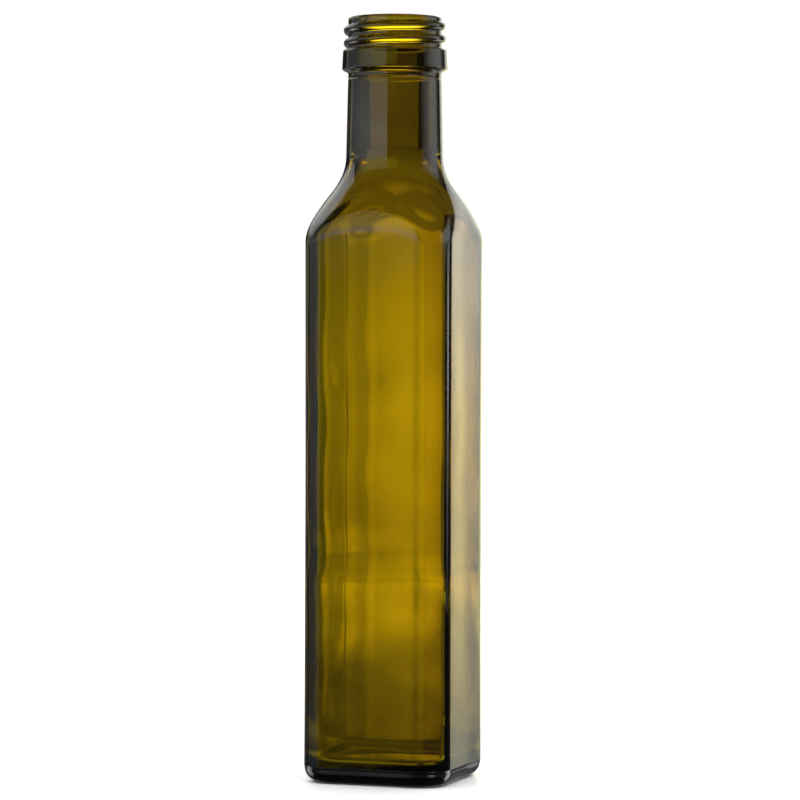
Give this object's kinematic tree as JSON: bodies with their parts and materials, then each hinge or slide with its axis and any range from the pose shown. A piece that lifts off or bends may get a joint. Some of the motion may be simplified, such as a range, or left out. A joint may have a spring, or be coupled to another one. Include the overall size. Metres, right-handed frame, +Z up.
{
  "type": "marasca oil bottle",
  "caption": "Tall square glass oil bottle with rounded edges, a round threaded neck and an open mouth, standing empty on a hollowed foot.",
  "frame": {"origin": "centre of the foot, on the surface that the bottle stands on", "axes": "+Z up along the neck's axis, X and Y square to the flat faces"},
  "size_m": [0.0456, 0.0456, 0.228],
  "materials": {
    "olive_glass": "clear polished olive-green container glass"
  },
  "bodies": {
    "root": {"bottle": "olive_glass"}
  },
  "joints": []
}
